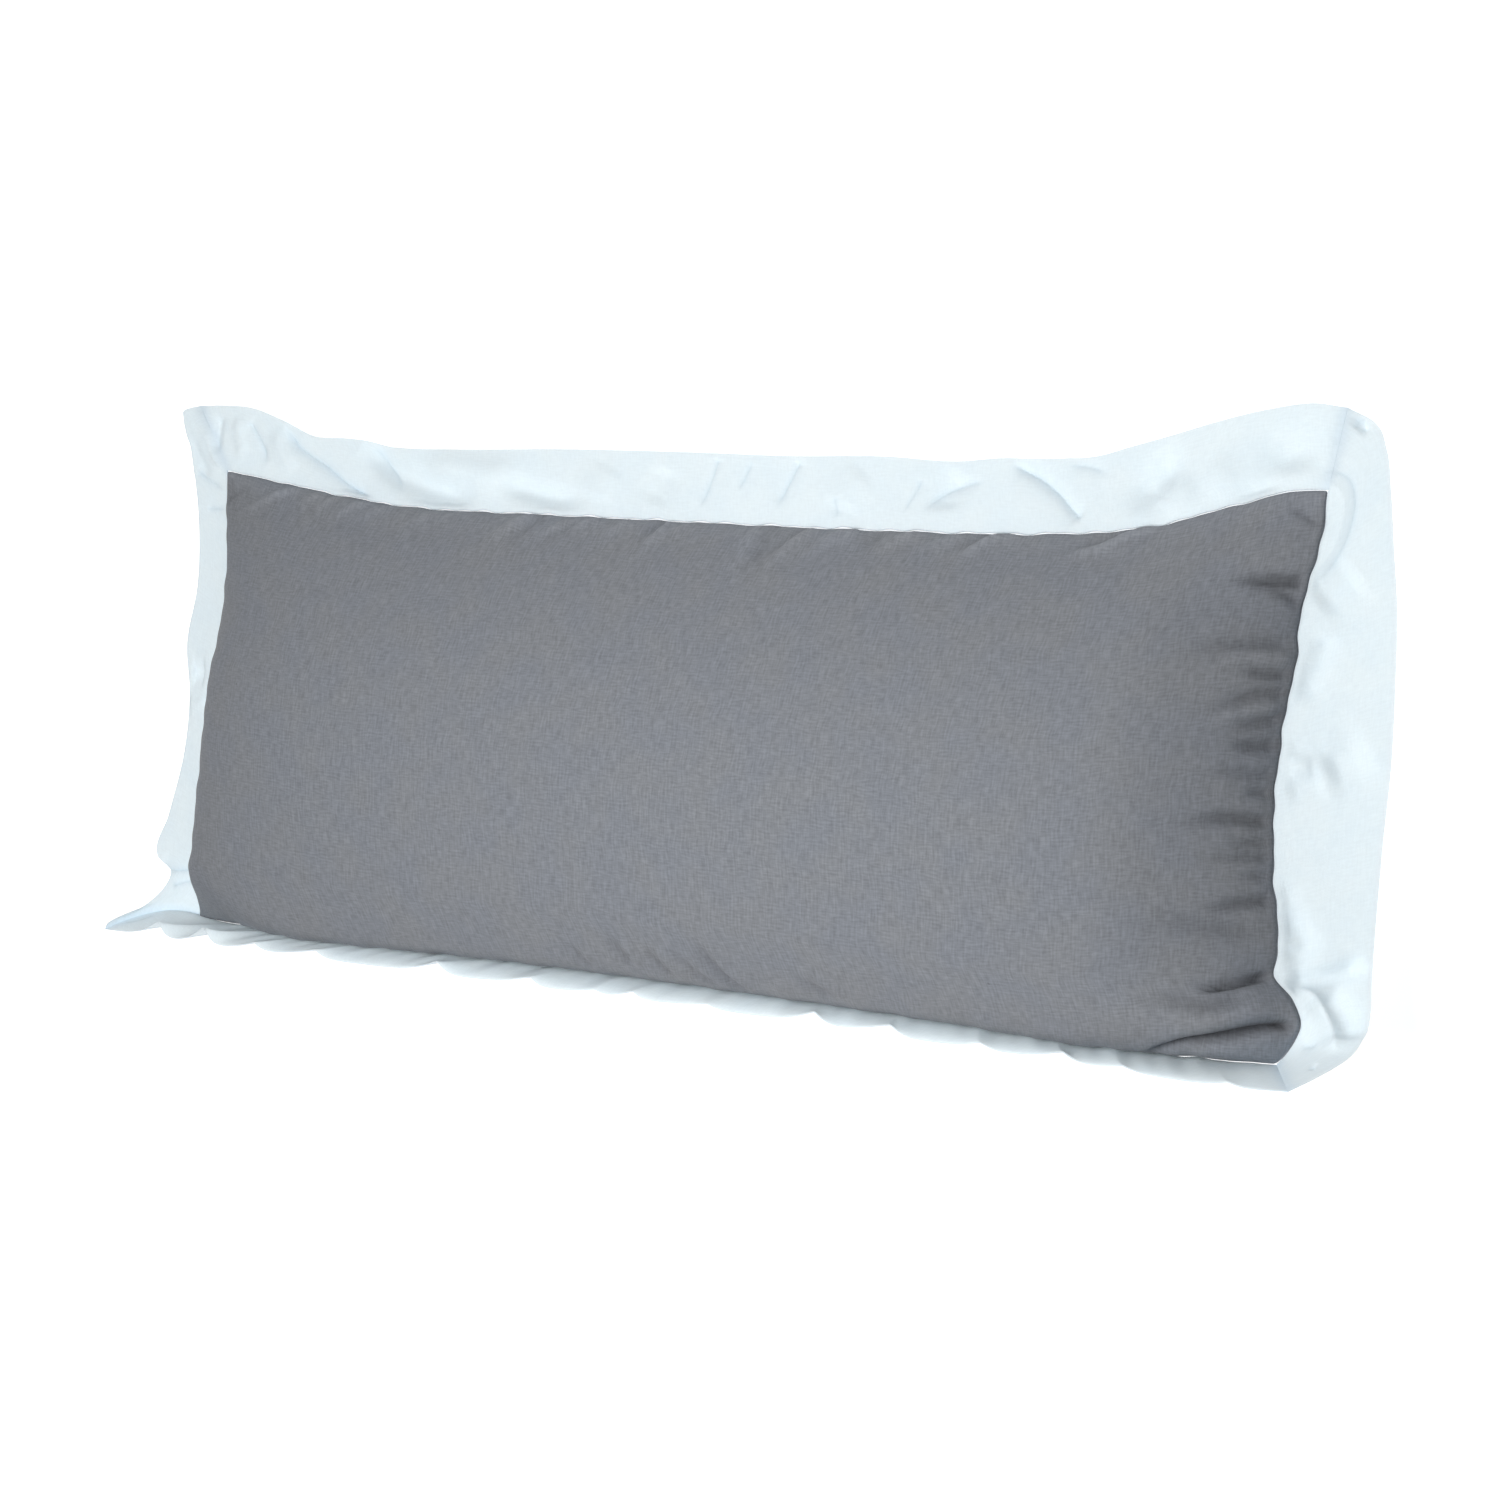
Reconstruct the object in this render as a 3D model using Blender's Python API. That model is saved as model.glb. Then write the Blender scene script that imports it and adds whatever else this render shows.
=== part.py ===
"""A long lumbar pillow with a flanged edge, lying on its back.

A filled body of grey cotton is sewn round its edge to a white flange of four mitred strips. The seam
sags between its corners, most along the upper side. The flange keeps the form it takes when the
pillow stands on its lower side: the upper, left and right strips stand out flat, and the lower strip
and the two lower corners are folded up along the face.

Metres. +X runs along the pillow, +Y towards its upper side and +Z out of its face.
"""

import math
from collections import namedtuple

import bpy
import bmesh
from mathutils import Vector

# Filled body
CROWN = 0.075  # the face's height over the seam at its fullest
BACK_DEPTH = 0.065  # the back's depth under the seam, where it lies flat
BACK_FULLNESS = 1.35  # the back's depth before it was pressed flat, as a share of BACK_DEPTH
PRESS_START = 0.8  # share of BACK_DEPTH from which the pressing shows
END_ROUNDING = 6.5  # how long the body stays full before it falls to the ends
END_STEEPNESS = 0.50  # how steeply it rises from the end seams
SIDE_ROUNDING = 2.0  # the same two towards the upper and lower sides
SIDE_STEEPNESS = 0.82
RIGHT_ROUNDING = (6.5, 8.5)  # the face's right end is slacker: near the lower side, and from the middle up
RIGHT_STEEPNESS = 1.20
CROWN_SHIFT = 0.76  # under 1, the filling of the face lies nearer the lower side
BULGE_SHIFT = 0.60  # the same for the bulge over the end seams
RIM = 0.0034  # height of the sewn edge between the face and the back
BODY_COLUMNS = 56
BODY_ROWS = 32
CROWDING = 0.7  # how much closer the columns and rows stand near the seam
CREASE_LIMIT = 0.6  # a crease takes at most this share of the face's height over the seam
CREASE_END = 0.15  # 0 lets a crease run out to nothing at its ends, 0.5 keeps it at full depth

# Flange
CLOTH = 0.0024  # two layers of cotton and the turned hem
GAP = 0.0003  # space between pieces that are sewn together
STRIP_ROWS = 3
STEEP = 0.5  # a strip that rises this much for its width stands clear of the seam by half its cloth
BOW_EASE = 0.125  # share of a side, at each end, over which its bow grows
RIPPLE_POWER = 1.5  # over 1, a ripple leans in mostly near the free edge

# The flange's corners: where the seam turns, and the tip of the mitre, from the middle of the seam
Corner = namedtuple("Corner", "seam tip")
CORNERS = {
    "lower_left": Corner(Vector((-0.451, -0.170, 0.000)), Vector((-0.503, -0.186, 0.048))),
    "lower_right": Corner(Vector((0.452, -0.179, 0.020)), Vector((0.488, -0.188, 0.081))),
    "upper_right": Corner(Vector((0.452, 0.172, 0.000)), Vector((0.460, 0.2230, -0.003))),
    "upper_left": Corner(Vector((-0.452, 0.1715, 0.000)), Vector((-0.504, 0.219, 0.000))),
}

# Sections of each side, from the line between its two seam corners. along is the share of the way
# from the side's first corner, drawn_in is how far the seam lies inside that line, edge_out is how far
# the strip's outer edge lies outside it, and edge_up is that edge's height over the seam's plane.
Section = namedtuple("Section", "along drawn_in edge_out edge_up")
LOWER = (
    Section(0.06, -0.001, 0.014, 0.047),
    Section(0.20, 0.000, 0.013, 0.046),
    Section(0.40, 0.001, 0.012, 0.043),
    Section(0.60, 0.001, 0.011, 0.043),
    Section(0.75, 0.000, 0.012, 0.050),
    Section(0.87, -0.002, 0.013, 0.060),
    Section(0.95, -0.002, 0.012, 0.070),
)
RIGHT = (
    Section(0.020, -0.006, 0.046, 0.065),
    Section(0.050, -0.012, 0.056, 0.040),
    Section(0.080, -0.013, 0.057, 0.022),
    Section(0.115, -0.006, 0.054, 0.008),
    Section(0.150, 0.006, 0.051, 0.002),
    Section(0.200, 0.006, 0.050, 0.000),
    Section(0.350, 0.014, 0.051, 0.000),
    Section(0.480, 0.017, 0.053, 0.000),
    Section(0.600, 0.015, 0.052, 0.000),
    Section(0.700, 0.011, 0.050, 0.000),
    Section(0.800, 0.010, 0.044, -0.002),
    Section(0.880, 0.004, 0.039, -0.004),
    Section(0.940, 0.000, 0.034, -0.005),
    Section(0.980, 0.001, 0.025, -0.004),
)
UPPER = (
    Section(0.06, 0.008, 0.049, 0.000),
    Section(0.12, 0.016, 0.035, -0.002),
    Section(0.20, 0.024, 0.023, -0.005),
    Section(0.33, 0.027, 0.020, -0.008),
    Section(0.50, 0.030, 0.017, -0.010),
    Section(0.65, 0.032, 0.017, -0.010),
    Section(0.80, 0.031, 0.020, -0.008),
    Section(0.87, 0.025, 0.031, -0.005),
    Section(0.93, 0.011, 0.044, -0.003),
    Section(0.975, 0.001, 0.052, -0.003),
)
LEFT = (
    Section(0.025, 0.002, 0.047, 0.040),
    Section(0.050, 0.003, 0.037, 0.024),
    Section(0.090, 0.005, 0.031, 0.010),
    Section(0.115, 0.007, 0.033, 0.003),
    Section(0.140, 0.009, 0.048, 0.000),
    Section(0.220, 0.012, 0.039, 0.000),
    Section(0.340, 0.014, 0.027, 0.000),
    Section(0.450, 0.015, 0.025, 0.000),
    Section(0.550, 0.014, 0.031, 0.000),
    Section(0.660, 0.012, 0.024, 0.000),
    Section(0.800, 0.008, 0.028, 0.000),
    Section(0.920, 0.002, 0.040, 0.000),
)

# The four sides, each with its first and last corner and the way out of the pillow. bulge is how far
# the filling pushes the face out over the seam, reach is the share of the body's width that the bulge
# takes, bow is how far the strip sags away from the body across its width, and the strip has fine
# columns for each of the body's.
Side = namedtuple("Side", "first last outward sections bulge reach bow columns fine")
DOWN, UP = Vector((0, -1, 0)), Vector((0, 1, 0))
LEFTWARD, RIGHTWARD = Vector((-1, 0, 0)), Vector((1, 0, 0))
SIDES = {
    "lower": Side("lower_left", "lower_right", DOWN, LOWER, 0.007, 0.05, 0.005, BODY_COLUMNS, 2),
    "right": Side("lower_right", "upper_right", RIGHTWARD, RIGHT, 0.002, 0.02, 0.000, BODY_ROWS, 1),
    "upper": Side("upper_left", "upper_right", UP, UPPER, 0.000, 0.05, 0.000, BODY_COLUMNS, 1),
    "left": Side("lower_left", "upper_left", LEFTWARD, LEFT, 0.001, 0.02, 0.000, BODY_ROWS, 1),
}

# Ripples of the lower strip's free edge, which lean in towards the body
Ripple = namedtuple("Ripple", "along rise spread")
RIPPLES = (
    Ripple(0.045, 0.007, 0.012),
    Ripple(0.090, 0.009, 0.014),
    Ripple(0.330, 0.006, 0.018),
    Ripple(0.412, 0.006, 0.020),
    Ripple(0.500, 0.003, 0.020),
    Ripple(0.640, 0.006, 0.014),
    Ripple(0.702, 0.006, 0.014),
    Ripple(0.838, 0.005, 0.018),
)

# Creases that the lower right corner pulls into the face
Crease = namedtuple("Crease", "start end depth half_width")
CREASES = (
    Crease(Vector((0.375, -0.128)), Vector((0.432, -0.124)), 0.010, 0.009),
    Crease(Vector((0.350, -0.168)), Vector((0.446, -0.156)), 0.010, 0.008),
)

GREY_COTTON = ("grey_cotton", (0.215, 0.225, 0.240), 0.92)
WHITE_COTTON = ("white_cotton", (0.74, 0.85, 0.91), 0.90)


def smooth_curve(knots, place):
    """The point at place on a smooth curve through knots, a list of (place, point) in order."""
    last = len(knots) - 1
    slopes = [(b[1] - a[1]) / (b[0] - a[0]) for a, b in zip(knots, knots[1:])]
    index = 0
    while index < last - 1 and place > knots[index + 1][0]:
        index += 1
    (start, p0), (end, p1) = knots[index], knots[index + 1]
    before = slopes[max(index - 1, 0)]
    after = slopes[min(index + 1, last - 1)]
    span = end - start
    m0 = (before + slopes[index]) / 2 * span
    m1 = (slopes[index] + after) / 2 * span
    t = (place - start) / span
    return (
        p0 * (2 * t**3 - 3 * t**2 + 1)
        + m0 * (t**3 - 2 * t**2 + t)
        + p1 * (3 * t**2 - 2 * t**3)
        + m1 * (t**3 - t**2)
    )


def spread(count):
    """Places from 0 to 1, closer together towards both ends."""
    places = []
    for index in range(count + 1):
        even = index / count
        eased = 0.5 - 0.5 * math.cos(math.pi * even)
        places.append(even + CROWDING * (eased - even))
    return places


def seam_knots(side):
    """The seam along one side, as (place, point) from its first corner to its last."""
    first, last = CORNERS[side.first].seam, CORNERS[side.last].seam
    knots = [(0.0, first)]
    for row in side.sections:
        knots.append((row.along, first.lerp(last, row.along) - side.outward * row.drawn_in))
    return knots + [(1.0, last)]


def edge_knots(side):
    """The strip's outer edge, from the tip of one mitre to the tip of the next."""
    first, last = CORNERS[side.first], CORNERS[side.last]
    knots = [(0.0, first.tip)]
    for row in side.sections:
        seam = first.seam.lerp(last.seam, row.along)
        along = first.tip.lerp(last.tip, row.along)
        across = Vector((abs(side.outward.x), abs(side.outward.y), 0))
        level = Vector((1, 1, 0)) - across
        point = Vector(a * b for a, b in zip(along, level)) + Vector(a * b for a, b in zip(seam, across))
        point += side.outward * row.edge_out
        point.z = row.edge_up
        knots.append((row.along, point))
    return knots + [(1.0, last.tip)]


def ripple_at(side, place):
    """How far the lower strip's free edge leans in at this place."""
    if side is not SIDES["lower"]:
        return 0.0
    return sum(r.rise * math.exp(-(((place - r.along) / r.spread) ** 2)) for r in RIPPLES)


def clearance(seam, edge):
    """How far the middle of the cloth stands off the seam, so that its surface clears it by GAP."""
    run = edge - seam
    return GAP + CLOTH / 2 * min(1.0, abs(run.z) / run.length / STEEP)


def strip_roots(side, places, edges):
    """The strip's sewn edge at each place: just outside the seam, square to it."""
    seam = [smooth_curve(seam_knots(side), place) for place in places]
    corners = CORNERS[side.first], CORNERS[side.last]
    roots = []
    for index, point in enumerate(seam):
        if index in (0, len(seam) - 1):
            # The mitre starts clear of both of the sides that meet at the corner
            corner = corners[index > 0]
            away = clearance(corner.seam, corner.tip)
            step = Vector((math.copysign(away, point.x), math.copysign(away, point.y), 0))
        else:
            run = seam[index + 1] - seam[index - 1]
            step = Vector((run.y, -run.x, 0)).normalized()
            step *= math.copysign(clearance(point, edges[index]), step.dot(side.outward))
        roots.append(point + step)
    return roots


def strip_columns(side):
    """Points across one strip's middle surface, from its sewn edge to its free edge, column by column."""
    places = spread(side.columns)
    knots = edge_knots(side)
    roots = strip_roots(side, places, [smooth_curve(knots, place) for place in places])
    columns = []
    for index in range(side.columns * side.fine + 1):
        whole = min(index // side.fine, side.columns - 1)
        part = index / side.fine - whole
        place = places[whole] + part * (places[whole + 1] - places[whole])
        root = roots[whole].lerp(roots[whole + 1], part)
        edge = smooth_curve(knots, place)
        bow = side.bow * min(1.0, place / BOW_EASE, (1 - place) / BOW_EASE)
        ripple = ripple_at(side, place)
        column = []
        for row in range(STRIP_ROWS + 1):
            across = row / STRIP_ROWS
            outward = bow * 4 * across * (1 - across) - ripple * across**RIPPLE_POWER
            column.append(root.lerp(edge, across) + side.outward * outward)
        columns.append(column)
    return columns


def mesh_object(name, mesh_data, material, collection):
    mesh = bpy.data.meshes.new(name)
    mesh_data.to_mesh(mesh)
    mesh_data.free()
    mesh.materials.append(material)
    piece = bpy.data.objects.new(name, mesh)
    collection.objects.link(piece)
    return piece


def cotton(name, colour, roughness):
    material = bpy.data.materials.new(name)
    material.use_nodes = True
    shader = material.node_tree.nodes["Principled BSDF"]
    shader.inputs["Base Color"].default_value = (*colour, 1)
    shader.inputs["Roughness"].default_value = roughness
    shader.inputs["Metallic"].default_value = 0.0
    return material


def rounded(place, rounding, steepness):
    """A crown over 0 to 1: nothing at both ends, 1 in the middle."""
    return (1 - abs(2 * place - 1) ** rounding) ** steepness


def full_in_both(a, b):
    """Nothing where either crown is nothing, 1 where both are 1, and plumper at a corner than a * b."""
    return math.sqrt(2) * a * b / math.hypot(a, b) if a * b > 0 else 0.0


def pressed(share):
    """The back's depth as a share of BACK_DEPTH, eased into the flat patch it lies on."""
    full = 2 - PRESS_START
    if share <= PRESS_START:
        return share
    if share >= full:
        return 1.0
    return share - (share - PRESS_START) ** 2 / (2 * (full - PRESS_START))


def crease_depth(x, y):
    """How deep the creases pull the face in at this point."""
    depth = 0.0
    point = Vector((x, y))
    for crease in CREASES:
        run = crease.end - crease.start
        share = (point - crease.start).dot(run) / run.length_squared
        share = min(max(share, 0.0), 1.0)
        away = (point - crease.start - run * share).length
        fade = math.sin(math.pi * (CREASE_END + (1 - 2 * CREASE_END) * share))
        depth += crease.depth * fade * math.exp(-((away / crease.half_width) ** 2))
    return depth


def seam_net(u, v, seams):
    """The surface that spans the seam, at u along the pillow and v up it."""
    across = smooth_curve(seams["left"], v).lerp(smooth_curve(seams["right"], v), u)
    upward = smooth_curve(seams["lower"], u).lerp(smooth_curve(seams["upper"], u), v)
    low = CORNERS["lower_left"].seam.lerp(CORNERS["lower_right"].seam, u)
    high = CORNERS["upper_left"].seam.lerp(CORNERS["upper_right"].seam, u)
    return across + upward - low.lerp(high, v)


def body_point(u, v, face, seams):
    """A point of the body's face, or of its back, at u along the pillow and v up it."""
    point = seam_net(u, v, seams)
    lengthwise = rounded(u, END_ROUNDING, END_STEEPNESS)
    if face and u > 0.5:
        low, high = RIGHT_ROUNDING
        rounding = low + (high - low) * min(max((v - 0.25) / 0.35, 0.0), 1.0)
        lengthwise = rounded(u, rounding, RIGHT_STEEPNESS)
    crosswise = rounded(v**CROWN_SHIFT if face else v, SIDE_ROUNDING, SIDE_STEEPNESS)
    # The lower corners are plump, and the upper ones run out into points
    plump = full_in_both(lengthwise, crosswise)
    swell = plump + v * (lengthwise * crosswise - plump)
    if face:
        low = v**BULGE_SHIFT
        insets = (("left", u, low), ("right", 1 - u, low), ("lower", v, u), ("upper", 1 - v, u))
        for name, inset, along in insets:
            side = SIDES[name]
            near = inset / side.reach
            spread_out = near * math.exp(1 - near) * math.sin(math.pi * along)
            point += side.outward * side.bulge * spread_out
        rise = CROWN * swell
        point.z += RIM / 2 + rise - min(crease_depth(point.x, point.y), CREASE_LIMIT * rise)
    else:
        depth = BACK_DEPTH * pressed(BACK_FULLNESS * swell)
        point.z = (point.z - RIM / 2) * (1 - depth / BACK_DEPTH) - depth
    return point


def body(material, collection):
    """The filled body: a face and a back from two grids, joined by the sewn rim."""
    seams = {name: seam_knots(side) for name, side in SIDES.items()}
    columns, rows = spread(BODY_COLUMNS), spread(BODY_ROWS)
    shape = bmesh.new()
    for face in (True, False):
        made = bmesh.ops.create_grid(shape, x_segments=BODY_COLUMNS, y_segments=BODY_ROWS, size=0.5)
        for vert in made["verts"]:
            u = columns[round((vert.co.x + 0.5) * BODY_COLUMNS)]
            v = rows[round((vert.co.y + 0.5) * BODY_ROWS)]
            vert.co = body_point(u, v, face, seams)
    bmesh.ops.bridge_loops(shape, edges=[edge for edge in shape.edges if edge.is_boundary])
    bmesh.ops.recalc_face_normals(shape, faces=shape.faces)
    for polygon in shape.faces:
        polygon.smooth = True
    return mesh_object("cushion", shape, material, collection)


def loft(sections):
    """A closed solid through a row of closed sections that all have the same number of points."""
    shape = bmesh.new()
    rings = [[shape.verts.new(point) for point in section] for section in sections]
    for ring, following in zip(rings, rings[1:]):
        for index in range(len(ring)):
            after = (index + 1) % len(ring)
            shape.faces.new((ring[index], ring[after], following[after], following[index]))
    # An end is capped in strips across the cloth, so that no cap face is bent
    for ring in (rings[0], rings[-1]):
        for index in range(STRIP_ROWS):
            opposite = len(ring) - 1 - index
            shape.faces.new((ring[index], ring[index + 1], ring[opposite - 1], ring[opposite]))
    bmesh.ops.recalc_face_normals(shape, faces=shape.faces)
    return shape


def flange(material, collection):
    """Four strips that share their mitres, each lofted from thin sections across the cloth."""
    columns = {name: strip_columns(side) for name, side in SIDES.items()}
    # Round the pillow once, so that two strips that meet have the same slope at their mitre
    order = (("lower", False), ("right", False), ("upper", True), ("left", True))
    loop = []
    for name, backwards in order:
        run = columns[name][::-1] if backwards else columns[name]
        loop += [(name, column) for column in run[:-1]]
    pieces = []
    first = 0
    for name, backwards in order:
        count = SIDES[name].columns * SIDES[name].fine
        sections = []
        for step in range(count + 1):
            index = first + step
            column = loop[index % len(loop)][1]
            before, after = loop[index - 1][1], loop[(index + 1) % len(loop)][1]
            # The strip stops half a gap short of each mitre
            pull = GAP / 2 if step == 0 else -GAP / 2 if step == count else 0.0
            upper_side, lower_side = [], []
            for row, point in enumerate(column):
                onward = (after[row] - before[row]).normalized()
                outward = (column[min(row + 1, STRIP_ROWS)] - column[max(row - 1, 0)]).normalized()
                normal = outward.cross(onward).normalized()
                place = point + onward * pull
                upper_side.append(place + normal * CLOTH / 2)
                lower_side.append(place - normal * CLOTH / 2)
            sections.append(upper_side + lower_side[::-1])
        pieces.append(mesh_object(f"flange_{name}", loft(sections), material, collection))
        first += count
    return pieces


def settle(pieces):
    """Moves the pillow so that its box stands on z = 0, centred on the origin."""
    points = [vert.co for piece in pieces for vert in piece.data.vertices]
    low = Vector(min(point[axis] for point in points) for axis in range(3))
    high = Vector(max(point[axis] for point in points) for axis in range(3))
    middle = Vector(((low.x + high.x) / 2, (low.y + high.y) / 2, low.z))
    for piece in pieces:
        for vert in piece.data.vertices:
            vert.co -= middle


for leftover in list(bpy.data.objects):
    bpy.data.objects.remove(leftover, do_unlink=True)
pillow = bpy.data.collections.new("lumbar_pillow")
bpy.context.scene.collection.children.link(pillow)
cushion = body(cotton(*GREY_COTTON), pillow)
strips = flange(cotton(*WHITE_COTTON), pillow)
settle([cushion, *strips])
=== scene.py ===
"""A long lumbar pillow, lying on its back: a filled body of grey cotton sewn into a white flange of four
mitred strips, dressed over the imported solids."""

import math

import bpy
import numpy as np
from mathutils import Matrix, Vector
from mathutils.bvhtree import BVHTree


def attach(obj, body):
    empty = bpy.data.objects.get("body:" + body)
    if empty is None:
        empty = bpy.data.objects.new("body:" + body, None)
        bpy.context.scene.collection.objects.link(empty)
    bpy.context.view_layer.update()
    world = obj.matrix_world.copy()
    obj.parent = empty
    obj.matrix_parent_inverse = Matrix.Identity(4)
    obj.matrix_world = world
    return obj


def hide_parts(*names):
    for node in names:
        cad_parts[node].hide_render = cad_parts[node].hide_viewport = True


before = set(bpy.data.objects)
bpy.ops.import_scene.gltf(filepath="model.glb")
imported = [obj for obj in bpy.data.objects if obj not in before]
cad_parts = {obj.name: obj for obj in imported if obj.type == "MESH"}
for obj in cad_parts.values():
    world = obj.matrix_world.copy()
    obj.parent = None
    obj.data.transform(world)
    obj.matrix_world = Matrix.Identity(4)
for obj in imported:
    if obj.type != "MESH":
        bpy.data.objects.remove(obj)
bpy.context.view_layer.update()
bpy.ops.object.select_all(action="DESELECT")

# The filled body: a long bag of plain-woven grey cotton. Its face and its back are cut to one rectangle
# and sewn together round the edge, and the filling lifts the face in a crown and draws the seam in
# between its corners, most along the upper side.
SEAM_MIDDLE = np.array((-0.0026, -0.0155, 0.0650))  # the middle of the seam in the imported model
SEAM_CORNERS = {
    # measured from that middle, in m
    "lower_left": (-0.451, -0.170, 0.000),
    "lower_right": (0.452, -0.179, 0.020),
    "upper_right": (0.452, 0.172, 0.000),
    "upper_left": (-0.452, 0.1715, 0.000),
}
SIDES = {
    # the corners at its ends, and the way out of the pillow
    "lower": ("lower_left", "lower_right", (0, -1, 0)),
    "right": ("lower_right", "upper_right", (1, 0, 0)),
    "upper": ("upper_left", "upper_right", (0, 1, 0)),
    "left": ("lower_left", "upper_left", (-1, 0, 0)),
}
DRAWN_IN = {
    # the share of the way along the side, and how far the seam lies inside the line of its corners, in m
    "lower": (
        (0.06, -0.001), (0.20, 0.000), (0.40, 0.001), (0.60, 0.001), (0.75, 0.000), (0.87, -0.002),
        (0.95, -0.002),
    ),
    "right": (
        (0.020, -0.006), (0.050, -0.012), (0.080, -0.013), (0.115, -0.006), (0.150, 0.006),
        (0.200, 0.006), (0.350, 0.014), (0.480, 0.017), (0.600, 0.015), (0.700, 0.011),
        (0.800, 0.010), (0.880, 0.004), (0.940, 0.000), (0.980, 0.001),
    ),
    "upper": (
        (0.06, 0.008), (0.12, 0.016), (0.20, 0.024), (0.33, 0.027), (0.50, 0.030), (0.65, 0.032),
        (0.80, 0.031), (0.87, 0.025), (0.93, 0.011), (0.975, 0.001),
    ),
    "left": (
        (0.025, 0.002), (0.050, 0.003), (0.090, 0.005), (0.115, 0.007), (0.140, 0.009),
        (0.220, 0.012), (0.340, 0.014), (0.450, 0.015), (0.550, 0.014), (0.660, 0.012),
        (0.800, 0.008), (0.920, 0.002),
    ),
}
PUCKER_WAVES = ((0.019, 0.35), (0.031, 0.40), (0.053, 0.35))  # length in m and height in mm
PUCKER_PHASE = 9  # radians by which a mm of its length shifts a wave, so that they don't fall together
PUCKER_START = 12  # the puckers have their full height a twelfth of the side away from a corner
CROWN = 0.075  # the face's height over the seam
BACK_DEPTH = 0.065  # the back's depth under the seam
BACK_FULLNESS = 1.35  # its depth before it was pressed flat, as a share of BACK_DEPTH
PRESS_START = 0.8  # share of BACK_DEPTH from which the pressing shows
LEFT_ROUNDING = 6.5  # how long the crown stays full
LEFT_STEEPNESS = (0.50, 0.75)  # how steeply it rises, in the lower half and in the upper
STEEPER_FROM, STEEPER_OVER = 0.52, 0.20  # shares of the way up, from the one half to the other
RIGHT_ROUNDING, RIGHT_STEEPNESS = (5.3, 7.2), 0.98  # rounder, and most of all in the lower half
FULLER_FROM, FULLER_OVER = 0.25, 0.35  # shares of the way up, from the one half to the other
SIDE_ROUNDING, SIDE_STEEPNESS = 2.0, 0.82
POINT_LENGTH, POINT_HEIGHT = 0.15, 0.16  # shares of the pillow that the lower left point takes up
CROWN_SHIFT = 0.76  # under 1, the filling lies nearer the lower side
BULGE_SHIFT = 0.60  # the same for the bulge over the end seams
BULGES = {
    # how far the body hangs over the seam, in m at the ends and as a share of LOWER_BULGE at the lower
    # side, and the share of the pillow over which it does so
    "lower": (1.0, 0.05),
    "right": (0.002, 0.02),
    "left": (0.001, 0.02),
}
LOWER_BULGE = (
    # the share of the way along, and how far the body hangs over the lower seam, in m
    (0.00, [0.000]), (0.05, [0.004]), (0.12, [0.012]), (0.20, [0.012]), (0.30, [0.009]), (0.42, [0.007]),
    (0.60, [0.007]), (0.78, [0.008]), (0.86, [0.009]), (0.94, [0.004]), (1.00, [0.000]),
)
RIM = 0.0034  # height of the sewn edge between the face and the back
BODY_COLUMNS, BODY_ROWS = 133, 92
COLUMN_CROWDING, ROW_CROWDING = 0.50, 0.20  # the grid is closer towards its ends, for the gathers


def smooth_curve(knots, places):
    """The points at these places on a smooth curve through knots, a list of (place, point) in order."""
    at = np.array([knot[0] for knot in knots])
    points = np.array([knot[1] for knot in knots], float)
    places = np.asarray(places, float)
    slopes = np.diff(points, axis=0) / np.diff(at)[:, None]
    index = np.clip(np.searchsorted(at, places) - 1, 0, len(at) - 2)
    span = (at[index + 1] - at[index])[..., None]
    t = (places - at[index])[..., None] / span
    leaving = (slopes[np.maximum(index - 1, 0)] + slopes[index]) / 2 * span
    arriving = (slopes[index] + slopes[np.minimum(index + 1, len(slopes) - 1)]) / 2 * span
    return (
        points[index] * (2 * t**3 - 3 * t**2 + 1)
        + leaving * (t**3 - 2 * t**2 + t)
        + points[index + 1] * (3 * t**2 - 2 * t**3)
        + arriving * (t**3 - t**2)
    )


def lerp(start, end, share):
    return start + (end - start) * share


def seam_line(side, places):
    """Points of the sewn seam along one side of the pillow."""
    first, last, outward = SIDES[side]
    start, end = np.array(SEAM_CORNERS[first]), np.array(SEAM_CORNERS[last])
    knots = [(0.0, start)]
    for along, drawn_in in DRAWN_IN[side]:
        knots.append((along, lerp(start, end, along) - np.array(outward) * drawn_in))
    line = smooth_curve(knots + [(1.0, end)], places) + SEAM_MIDDLE
    # The stitches pucker it a little, everywhere but in the corners
    metres = np.asarray(places) * np.linalg.norm(end - start)
    waves = sum(
        height / 1000 * np.sin(2 * math.pi * metres / length + PUCKER_PHASE * length * 1000 + len(side))
        for length, height in PUCKER_WAVES
    )
    started = np.clip(np.minimum(places, 1 - np.asarray(places)) * PUCKER_START, 0, 1)
    return line + np.array(outward) * (waves * started)[..., None]


def ease(share):
    share = np.clip(share, 0, 1)
    return share * share * (3 - 2 * share)


def rounded(place, rounding, steepness):
    """A crown over 0 to 1: nothing at both ends, 1 in the middle."""
    return (1 - np.abs(2 * place - 1) ** rounding) ** steepness


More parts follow.
